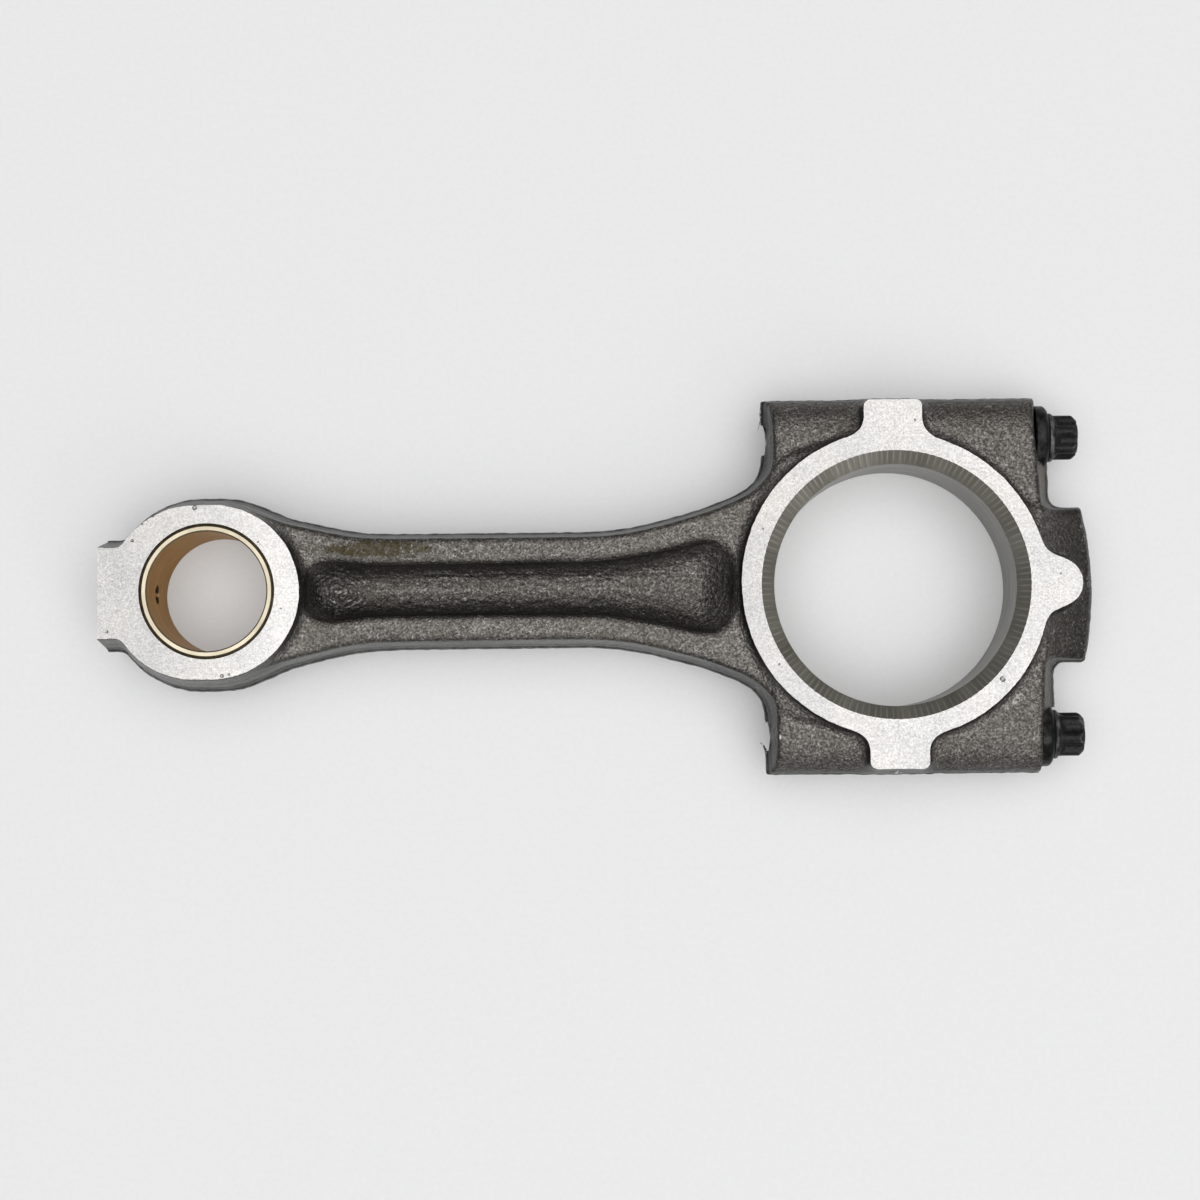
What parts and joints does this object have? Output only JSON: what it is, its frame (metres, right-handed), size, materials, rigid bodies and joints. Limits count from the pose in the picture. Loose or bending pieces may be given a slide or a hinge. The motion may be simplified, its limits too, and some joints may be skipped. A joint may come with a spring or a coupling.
{
  "type": "connecting rod",
  "caption": "Forged fracture-split engine connecting rod with a bushed small end, a removable big-end cap and flanged cap bolts.",
  "frame": {"origin": "centre of the big-end bore at mid thickness", "axes": "+X along the rod from the small end towards the cap, +Y across the rod to the upper bolt, +Z along the bores, out of the flat side face"},
  "size_m": [0.25, 0.0948, 0.028],
  "materials": {
    "rod_forging": "shot-blasted forging with bright machined side faces",
    "cap_forging": "shot-blasted forging with bright machined side faces",
    "bronze": "bored bronze",
    "black_bolt": "black oxide"
  },
  "bodies": {
    "rod": {"rod_body": "rod_forging", "small_end_bush": "bronze"},
    "cap": {"big_end_cap": "cap_forging"},
    "bolt_upper": {"cap_bolt_upper": "black_bolt"},
    "bolt_lower": {"cap_bolt_lower": "black_bolt"}
  },
  "joints": [
    {"name": "cap_pull", "type": "slide", "parent": "rod", "child": "cap", "axis": [1, 0, 0], "range_m": [0, 0.08]},
    {"name": "bolt_upper_draw", "type": "slide", "parent": "cap", "child": "bolt_upper", "axis": [1, 0, 0], "range_m": [0, 0.06]},
    {"name": "bolt_lower_draw", "type": "slide", "parent": "cap", "child": "bolt_lower", "axis": [1, 0, 0], "range_m": [0, 0.06]}
  ]
}
